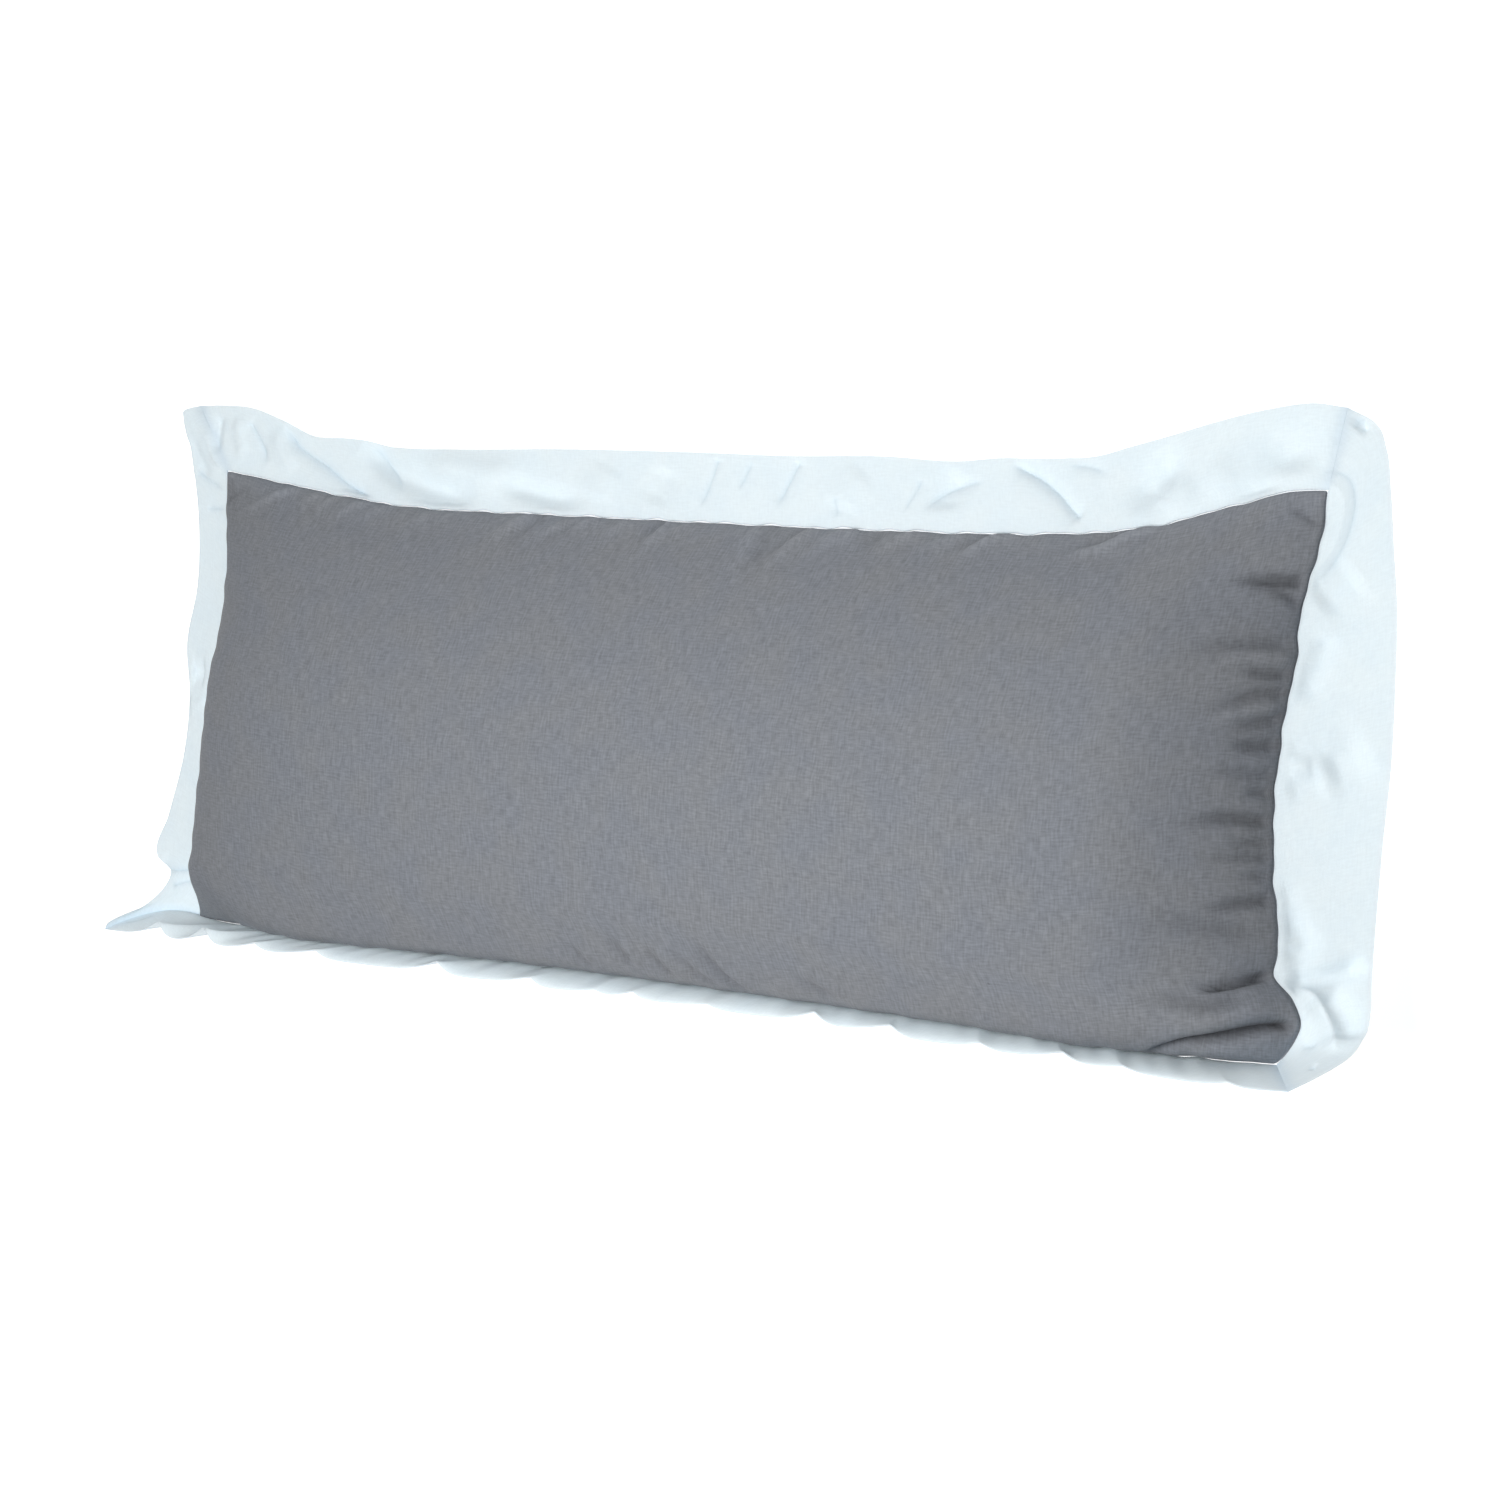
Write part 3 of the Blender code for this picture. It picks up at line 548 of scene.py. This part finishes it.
# The flange: four strips of doubled white cotton, mitred at the corners and sewn into the seam of the
# body. It is stiff enough to stand out flat, and the lower strip and the lower corners are folded up
# along the face, as the pillow's own weight folds them when it stands on that side.
CLOTH = 0.0013  # m, two layers of cotton
FOLDED_EDGE = (0.35, 0.85)  # of that thickness, in the two rows next to the free edge
SEWN_GAP = 0.0003  # m between the strip and the body
FREE_TIPS = {
    # the outer ends of the mitres, measured from the middle of the seam, in m
    "lower_left": (-0.503, -0.183, 0.048),
    "lower_right": (0.488, -0.188, 0.081),
    "upper_right": (0.460, 0.2230, -0.003),
    "upper_left": (-0.4835, 0.2212, 0.000),
}
FREE_EDGES = {
    # the share of the way along, how far the free edge lies outside the line of the seam's corners,
    # and how high it lies over the seam's plane, both in m
    "lower": (
        (0.06, 0.015, 0.043), (0.20, 0.014, 0.042), (0.40, 0.013, 0.039), (0.60, 0.012, 0.039),
        (0.75, 0.013, 0.046), (0.87, 0.013, 0.056), (0.95, 0.013, 0.067),
    ),
    "right": (
        (0.020, 0.046, 0.065), (0.050, 0.056, 0.040), (0.080, 0.057, 0.022), (0.115, 0.054, 0.008),
        (0.150, 0.051, 0.002), (0.200, 0.050, 0.000), (0.350, 0.051, 0.000), (0.480, 0.053, 0.000),
        (0.600, 0.052, 0.000), (0.700, 0.050, 0.000), (0.800, 0.044, -0.002), (0.880, 0.039, -0.004),
        (0.940, 0.034, -0.005), (0.980, 0.025, -0.004),
    ),
    "upper": (
        (0.026, 0.050, 0.000), (0.056, 0.048, 0.000), (0.088, 0.039, -0.001), (0.121, 0.0275, -0.002),
        (0.152, 0.0262, -0.003), (0.175, 0.0245, -0.004), (0.199, 0.0205, -0.005), (0.240, 0.0190, -0.006),
        (0.361, 0.0205, -0.009), (0.481, 0.0195, -0.010), (0.568, 0.0178, -0.010), (0.644, 0.0185, -0.011),
        (0.706, 0.0158, -0.011), (0.740, 0.0182, -0.011), (0.789, 0.0186, -0.011), (0.817, 0.0206, -0.011),
        (0.841, 0.0266, -0.011), (0.875, 0.0350, -0.010), (0.908, 0.0435, -0.009), (0.940, 0.0500, -0.007),
        (0.975, 0.0540, -0.005),
    ),
    "left": (
        (0.014, 0.050, 0.046), (0.030, 0.042, 0.034), (0.052, 0.036, 0.020), (0.090, 0.031, 0.006),
        (0.115, 0.033, 0.002), (0.140, 0.048, 0.000), (0.220, 0.039, 0.000), (0.340, 0.027, 0.000),
        (0.450, 0.025, 0.000), (0.550, 0.031, 0.000), (0.660, 0.024, 0.000), (0.800, 0.028, 0.000),
        (0.920, 0.041, 0.000), (0.955, 0.0470, 0.000), (0.978, 0.0497, 0.000), (0.992, 0.0488, 0.000),
        (0.9965, 0.042, 0.000),
    ),
}
LOBE_BOW = (-0.003, 0.009, -0.013)  # the lower left mitre bows up round the fold of its corner
LOBE_REACH = 0.030  # m along both strips from that corner
LOWER_CURL = 1.5  # over 1, the lower strip first stands up against the body and then turns out flat
CURL_START = 12  # it curls fully a twelfth of its length away from a corner
LOWER_EDGE = 991  # mm, the length of the lower free edge
LOWER_RIPPLES = (
    # where the free edge curls in over the strip, how far in mm, and how far off it starts and ends
    (0.050, 12, 14, 7), (0.096, 13, 14, 7), (0.146, 6, 16, 8), (0.206, 6, 22, 9), (0.319, 9, 17, 9),
    (0.403, 6, 20, 7), (0.459, 3, 16, 7), (0.491, 5, 12, 7), (0.554, 3, 24, 8), (0.641, 8, 16, 8),
    (0.702, 7, 22, 8), (0.772, 4, 16, 8), (0.835, 6, 20, 8), (0.879, 3, 16, 8), (0.956, 3, 14, 8),
)
RIPPLE_CURVE = 0.75  # the share of a ripple that comes only near the free edge
RIPPLE_FALL = 1.3  # 1 would be a sharp fold, 2 a round one
STRIP_COLUMNS = {"lower": 860, "right": 340, "upper": 860, "left": 340}
STRIP_ROWS = 44
SEWN_ROWS = 3  # held in the seam
FOLD_START = 8  # the folds have their full height an eighth of the width away from the seam
NEAR_BODY = 0.03  # m, how far off the body is looked for
FLANGE_SWELLS = (
    # rise, half width, come, go, route
    # the upper strip
    (-2.2, 5, 0.3, 0.3, (-497, 185, 65), (-487, 168, 65), (-471, 150, 65)),
    (-3.2, 5, 0.2, 0.3, (-466, 200, 65), (-468, 183, 65), (-468, 167, 65)),
    (2.4, 6, 0.3, 0.3, (-449, 199, 65), (-443, 180, 65), (-438, 163, 65)),
    (2.4, 8, 0.3, 0.3, (-411, 189, 63), (-401, 173, 63), (-386, 156, 63)),
    (-7.4, 10, 0.2, 0.3, (-326, 182, 60), (-306, 166, 60), (-281, 153, 60), (-245, 144, 60),
     (-205, 140, 60)),
    (-5.1, 8, 0.3, 0.4, (-203, 156, 58), (-175, 147, 58), (-142, 141, 58), (-106, 139, 58)),
    (4.7, 11, 0.3, 0.3, (-268, 166, 58), (-225, 159, 58), (-170, 154, 58)),
    (-6.0, 13, 0.4, 0.4, (352, 178, 62), (334, 166, 62), (324, 154, 62), (325, 136, 62)),
    (3.6, 12, 0.45, 0.45, (333, 140, 62), (346, 151, 62), (364, 160, 62)),
    (3.0, 12, 0.45, 0.45, (364, 174, 62), (378, 162, 62), (386, 148, 62)),
    (-2.6, 7, 0.45, 0.45, (383, 149, 62), (404, 154, 62), (425, 158, 62)),
    (-5.0, 16, 0.45, 0.45, (395, 170, 62), (421, 177, 62), (450, 183, 62)),
    (3.0, 8, 0.4, 0.4, (405, 160, 63), (426, 166, 63), (446, 169, 63)),
    (2.2, 14, 0.3, 0.3, (-98, 166, 58), (-104, 152, 58), (-108, 137, 58)),
    (-2.2, 12, 0.3, 0.3, (-50, 166, 58), (-54, 150, 58), (-58, 136, 58)),
    (2.4, 14, 0.3, 0.3, (112, 165, 58), (101, 150, 58), (96, 135, 58)),
    (-2.7, 12, 0.3, 0.3, (186, 166, 58), (178, 151, 58), (178, 136, 58)),
    # the right strip
    (-3.4, 3, 0.4, 0.4, (465, 197, 62), (469, 195, 62), (473, 193, 62)),
    (-4.0, 13, 0.3, 0.3, (474, 108, 67), (463, 98, 68), (448, 84, 69)),
    (-3.2, 8, 0.2, 0.3, (458, 70, 70), (454, 54, 71), (449, 38, 72), (446, 22, 72)),
    (-2.0, 6, 0.3, 0.3, (436, -4, 75), (450, -3, 74), (464, 0, 72)),
    (-2.2, 8, 0.3, 0.3, (438, -28, 76), (450, -25, 74), (464, -20, 73)),
    (-5.0, 15, 0.3, 0.5, (460, -16, 72), (475, -8, 70), (492, 2, 68)),
    (2.0, 6, 0.3, 0.3, (440, -14, 75), (455, -12, 73)),
    # the lower right corner
    (-6.0, 11, 0.2, 0.3, (471, -147, 78), (481, -155, 79), (490, -163, 83), (495, -170, 88),
     (498, -175, 95)),
    (-6.0, 7, 0.2, 0.3, (449, -144, 83), (465, -142, 78), (482, -136, 73), (498, -126, 67)),
    (-4.0, 9, 0.3, 0.3, (448, -98, 80), (453, -110, 80), (458, -121, 78), (455, -130, 79), (449, -139, 82)),
    (-2.0, 8, 0.4, 0.4, (444, -80, 79), (447, -94, 79), (452, -110, 79)),
    # the left strip
    (-4.1, 9, 0.2, 0.3, (-479, 1, 66), (-471, 1, 66), (-464, 1, 66)),
)
CREASE_WIDTH = 1.4  # mm, half the width of the painted shade along a sharp crease
FLANGE_CREASES = (
    # rise, half width, come, go, route
    # the upper strip
    (2.2, 2.5, 0.1, 0.2, (-486, 203, 66), (-479, 186, 66), (-466, 162, 66), (-456, 157, 66)),
    (-3.1, 4, 0.1, 0.3, (-437, 194, 64), (-427, 183, 64), (-419, 171, 64), (-416, 160, 64)),
    (-5.5, 5, 0.15, 0.15, (-402, 192, 62), (-389, 177, 62), (-376, 169, 62), (-359, 161, 62),
     (-341, 150, 62), (-323, 142, 62), (-307, 136, 62)),
    (-2.2, 4, 0.2, 0.4, (-317, 178, 60), (-304, 165, 60), (-291, 152, 60), (-282, 139, 60)),
    (-1.8, 3, 0.1, 0.3, (-9, 173, 56), (-12, 154, 56), (-17, 134, 56)),
    (-1.3, 3, 0.2, 0.4, (20, 170, 56), (16, 159, 56), (12, 147, 56)),
    (-2.5, 3.5, 0.1, 0.3, (58, 172, 56), (52, 155, 56), (45, 136, 56)),
    (-1.4, 3, 0.2, 0.4, (157, 161, 57), (151, 146, 57), (145, 133, 57)),
    (-2.2, 4, 0.2, 0.3, (205, 158, 57), (187, 156, 57), (172, 149, 57), (161, 135, 57)),
    (-4.8, 4.5, 0.15, 0.1, (221, 172, 58), (244, 162, 58), (259, 152, 58), (271, 141, 58), (281, 133, 58)),
    (-1.7, 4, 0.2, 0.4, (264, 172, 59), (280, 170, 59), (297, 165, 59)),
    (-1.1, 3, 0.2, 0.3, (92, 146, 58), (96, 131, 58)),
    # the upper right corner: a crescent round the body's corner, and a hook at the tip
    (1.1, 4, 0.2, 0.2, (434, 159, 66), (447, 160, 66), (456, 158, 66), (461, 150, 66), (460, 134, 66),
     (456, 121, 66), (448, 109, 66), (440, 101, 66)),
    (-0.7, 3, 0.2, 0.2, (440, 165, 66), (452, 168, 66), (463, 163, 66), (467, 152, 66), (466, 136, 66),
     (461, 120, 66), (452, 106, 66), (443, 98, 66)),
    (-2.8, 2.5, 0.2, 0.2, (461, 201, 62), (467, 200, 62), (471, 204, 62)),
    (-2.1, 2.5, 0.2, 0.2, (462, 195, 62), (464, 197, 62), (467, 200, 62)),
    # the lower right corner
    (4.2, 4, 0.2, 0.2, (454, -146, 82), (463, -148, 80), (472, -153, 80), (478, -160, 82), (484, -167, 86),
     (491, -176, 94), (497, -182, 103)),
    (-1.4, 3, 0.3, 0.3, (466, -182, 89), (474, -180, 92), (480, -178, 92)),
    (-3.5, 2, 0.3, 0.3, (484, -191, 115), (488, -189, 113)),
    # the left strip
    (-2.0, 3, 0.1, 0.3, (-487, 156, 65), (-474, 149, 65), (-457, 141, 65)),
    (-1.4, 2.5, 0.2, 0.4, (-474, 127, 65), (-464, 127, 65), (-453, 127, 65)),
    (2.8, 5, 0.2, 0.3, (-478, -23, 66), (-470, -22, 66), (-461, -20, 66)),
    # the lower left corner
    (-4.2, 4, 0.1, 0.1, (-497, -146, 67), (-488, -149, 68), (-477, -150, 69), (-467, -151, 69),
     (-460, -152, 70)),
    (-2.1, 4, 0.2, 0.2, (-478, -162, 74), (-470, -159, 72), (-460, -160, 70)),
    (0.6, 4, 0.2, 0.2, (-485, -179, 87), (-476, -176, 81), (-461, -182, 74), (-448, -188, 71)),
    (-0.6, 4, 0.2, 0.2, (-498, -192, 105), (-487, -189, 95), (-482, -178, 86)),
)


def free_edge(side, places):
    """Points of the strip's free edge, from the tip of one mitre to the tip of the next."""
    first, last, outward = SIDES[side]
    tips = np.array(FREE_TIPS[first]), np.array(FREE_TIPS[last])
    corners = np.array(SEAM_CORNERS[first]), np.array(SEAM_CORNERS[last])
    across = np.abs(outward)
    knots = [(0.0, tips[0])]
    for along, out, up in FREE_EDGES[side]:
        point = lerp(*tips, along) * (1 - across) + lerp(*corners, along) * across
        point = point + np.array(outward) * out
        point[2] = up
        knots.append((along, point))
    return smooth_curve(knots + [(1.0, tips[1])], places) + SEAM_MIDDLE


def strip_points(side):
    """Rows of points over the middle of a strip's cloth, from its sewn edge to its free edge."""
    outward = np.array(SIDES[side][2])
    places = np.linspace(0, 1, STRIP_COLUMNS[side] + 1)
    seam, edge = seam_line(side, places), free_edge(side, places)
    metres = np.linalg.norm(seam[-1] - seam[0])
    onward = np.gradient(seam, axis=0)
    square = np.stack((onward[:, 1], -onward[:, 0], 0 * places), axis=1)
    square /= np.linalg.norm(square, axis=1)[:, None]
    square *= np.sign(square @ outward)[:, None]
    # At a corner the strip runs out along the mitre, and where it stands up off the seam it starts half
    # its thickness further out
    for end in (0, -1):
        square[end] = np.sign(seam[end]) * (1, 1, 0)
    rise = np.abs(edge - seam)[:, 2] / np.linalg.norm(edge - seam, axis=1)
    root = seam + square * (SEWN_GAP + CLOTH / 2 * np.minimum(1, 2 * rise))[:, None]
    rows = []
    for across in np.linspace(0, 1, STRIP_ROWS + 1):
        lean = 0 * places
        share = np.array((across, across, across))
        if side == "lower":
            curl = 1 + (LOWER_CURL - 1) * np.minimum(1, CURL_START * np.minimum(places, 1 - places))
            level = np.full_like(curl, across)
            share = np.stack((level, across**curl, 1 - (1 - across) ** curl), axis=1)
            for at, inward, before, after in LOWER_RIPPLES:
                away = (places - at) * LOWER_EDGE
                near = np.abs(away) / np.where(away < 0, before, after)
                lifted = RIPPLE_CURVE * across**3 + (1 - RIPPLE_CURVE) * across
                lean -= inward / 1000 * lifted * np.exp(-(near**RIPPLE_FALL))
        row = lerp(root, edge, share) + outward * lean[:, None]
        if side in ("lower", "left"):
            near = np.exp(-((places * metres / LOBE_REACH) ** 2)) * 4 * across * (1 - across)
            row = row + np.array(LOBE_BOW) * near[:, None]
        rows.append(row)
    return np.array(rows)


# The four strips are shaped as one ring, so that they meet at the mitres
ring = []
for side, backwards in (("lower", False), ("right", False), ("upper", True), ("left", True)):
    strip = strip_points(side)
    ring.append(strip[:, ::-1][:, :-1] if backwards else strip[:, :-1])
ring = np.concatenate(ring, axis=1)
onward = np.roll(ring, -1, axis=1) - np.roll(ring, 1, axis=1)
inward = np.gradient(ring, axis=0)
ring_normals = np.cross(inward, onward)
ring_normals /= np.linalg.norm(ring_normals, axis=2)[..., None]
rows, columns = ring.shape[:2]
flat = ring.reshape(-1, 3)
quads = []
for row in range(rows - 1):
    for column in range(columns):
        here, beside = row * columns + column, row * columns + (column + 1) % columns
        quads.append((here, beside, beside + columns, here + columns))
smooth_ring = BVHTree.FromPolygons([tuple(point) for point in flat], quads)
heights = fold_heights(flat, smooth_ring, FLANGE_SWELLS)
heights += fold_heights(flat, smooth_ring, FLANGE_CREASES, sharp=True)
# Painted shade along a sharp crease: the cotton is painted a little greyer there
lines = [(1, CREASE_WIDTH, come, go, *route) for rise, _, come, go, *route in FLANGE_CREASES if rise < 0]
creasing = np.minimum(fold_heights(flat, smooth_ring, lines, sharp=True) * 1000, 1)
creasing = creasing.reshape(rows, columns)
held = ease(np.linspace(0, 1, rows) * FOLD_START)[:, None]
ring = ring + ring_normals * (heights.reshape(rows, columns) * held)[..., None]
# Where a strip would run into the body it lies against it instead
body_surface = surface_of(cushion)
for row in range(SEWN_ROWS, rows):
    for column in range(columns):
        point = Vector(ring[row, column])
        spot, normal, _, _ = body_surface.find_nearest(point, NEAR_BODY)
        if spot:
            room = (point - spot).dot(normal) - CLOTH / 2 - SEWN_GAP
            if room < 0:
                ring[row, column] = point - normal * room

# Plain white cotton, softly washed: a closer weave than the body's, a cool white, hardly any sheen, and
# thin enough to let light through, but not at the mitres, where seams lie under it. Its sharp creases get
# painted shade, and towards the mitres it is painted a little paler, as painted light.
CREASE_PAINTED_SHADE = 0.22  # how far the painted shade of a sharp crease goes towards grey
white_cotton = bpy.data.materials.new("white_plain_weave_cotton")
white_cotton.use_nodes = True
tree = white_cotton.node_tree
shader = tree.nodes["Principled BSDF"]
uv = node(tree, "TexCoord").outputs["UV"]
slubs, threads = plain_weave(tree, uv, (700, 130), (130, 700), 0.03)
drift = node(tree, "TexNoise", {"Vector": uv, "Scale": 30.0, "Detail": 3.0}).outputs[0]
drift = node(tree, "MapRange", {"Value": drift, "From Min": 0.35, "From Max": 0.65}).outputs[0]
white = node(tree, "MixRGB", {"Fac": drift, "Color1": linear("#DFEEF8"), "Color2": linear("#E2F0F8")})
white = node(tree, "VectorMath", {0: white.outputs[0], "Scale": slubs}, operation="SCALE")
mitre = node(tree, "Attribute", attribute_name="mitre").outputs["Fac"]
# painted light: the cloth is painted a little paler towards the mitres, where it lets less light through
painted_mitre_light = node(tree, "MapRange", {"Value": mitre, "To Min": 1.0, "To Max": 1.05}).outputs[0]
white = node(tree, "VectorMath", {0: white.outputs[0], "Scale": painted_mitre_light}, operation="SCALE")
# painted shade: the sharp creases are painted greyer
painted_crease_grey = node(tree, "Attribute", attribute_name="creasing").outputs["Fac"]
painted_crease_grey = node(tree, "Math", {0: painted_crease_grey, 1: CREASE_PAINTED_SHADE}, operation="MULTIPLY").outputs[0]
white = node(tree, "MixRGB", {"Fac": painted_crease_grey, "Color1": white.outputs[0], "Color2": linear("#6F7F8A")})
tree.links.new(white.outputs[0], shader.inputs["Base Color"])
bump = node(tree, "Bump", {"Strength": 0.25, "Distance": 0.0003, "Height": threads})
tree.links.new(bump.outputs[0], shader.inputs["Normal"])
shader.inputs["Roughness"].default_value = 0.90
shader.inputs["Specular IOR Level"].default_value = 0.25
shader.inputs["Sheen Weight"].default_value = 0.05
shader.inputs["Sheen Roughness"].default_value = 0.5
through = node(tree, "MapRange", {"Value": mitre, "To Min": 0.65, "To Max": 0.0}).outputs[0]
tree.links.new(through, shader.inputs["Subsurface Weight"])
shader.inputs["Subsurface Radius"].default_value = (1.0, 1.0, 1.0)
shader.inputs["Subsurface Scale"].default_value = 0.004

MITRE_FADE = 0.010  # m, over which a strip lets less light through, and is painted paler as painted light, towards its sewn ends
SHARP_EDGE = math.radians(50)
first = 0
for side in ("lower", "right", "upper", "left"):
    numbers = np.arange(first, first + STRIP_COLUMNS[side] + 1) % columns
    # From the free edge in, so that the upper face of the cloth looks up
    cut, marked = ring[::-1][:, numbers], creasing[::-1][:, numbers]
    along = paced_out(cut)[..., 0]
    inset = np.minimum(along - along[:, :1], along[:, -1:] - along)
    strip = cloth_grid("strip_" + side, cut, creasing=marked, mitre=1 - ease(inset / MITRE_FADE))
    # The free edge is a fold, so the cloth is thinner in its last two rows
    edge = strip.vertex_groups.new(name="away_from_the_edge")
    edge.add(list(range(len(strip.data.vertices))), 1.0, "REPLACE")
    for row, share in enumerate(FOLDED_EDGE):
        edge.add(list(range(row * len(numbers), (row + 1) * len(numbers))), share, "REPLACE")
    finished(strip, ("SOLIDIFY", {"thickness": CLOTH, "offset": 0.0, "vertex_group": edge.name}))
    strip.vertex_groups.clear()
    bpy.ops.object.shade_smooth_by_angle(angle=SHARP_EDGE)
    strip.data.materials.clear()
    strip.data.materials.append(white_cotton)
    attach(strip, "root")
    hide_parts("flange_" + side)
    first += STRIP_COLUMNS[side]

# The floor: a light table, as such things are photographed on, so that it stays pale under the pillow,
# with one broad soft light close above it and the pale room round it.
bpy.ops.object.select_all(action="DESELECT")
bpy.ops.mesh.primitive_plane_add(size=60, location=(0, 0, 0))
floor = bpy.context.object
floor.name = "light_table"
opal = bpy.data.materials.new("lit_opal_acrylic")
opal.use_nodes = True
shader = opal.node_tree.nodes["Principled BSDF"]
shader.inputs["Base Color"].default_value = linear("#F4F4F4")
shader.inputs["Roughness"].default_value = 1.0
shader.inputs["Specular IOR Level"].default_value = 0.0
shader.inputs["Emission Color"].default_value = (1, 1, 1, 1)
shader.inputs["Emission Strength"].default_value = 0.70
floor.data.materials.append(opal)

room = bpy.data.worlds.new("pale_room")
room.use_nodes = True
room.node_tree.nodes["Background"].inputs["Color"].default_value = (1, 1, 1, 1)
room.node_tree.nodes["Background"].inputs["Strength"].default_value = 0.22
bpy.context.scene.world = room
bpy.context.scene.view_settings.view_transform = "Standard"

bpy.ops.object.light_add(type="AREA", location=(0.12, -0.12, 1.50))
overhead = bpy.context.object
overhead.data.shape = "DISK"
overhead.data.size = 0.9
overhead.data.energy = 18.8

# The camera, at the photograph's angle: turned 33.5 degrees towards the pillow's right end.
TURN, TIP, ROLL = math.radians(33.5), math.radians(0.55), math.radians(3.8)
DISTANCE = 2.24
AIM = Vector((0.0389, -0.0275, 0.065))
away = Vector((math.sin(TURN) * math.cos(TIP), math.sin(TIP), math.cos(TURN) * math.cos(TIP)))
bpy.ops.object.camera_add(location=AIM + away * DISTANCE)
camera = bpy.context.object
camera.rotation_mode = "ZXY"
camera.rotation_euler = (-TIP, TURN, ROLL)
camera.data.lens = 78.96
camera.data.sensor_width = 36
bpy.context.scene.camera = camera
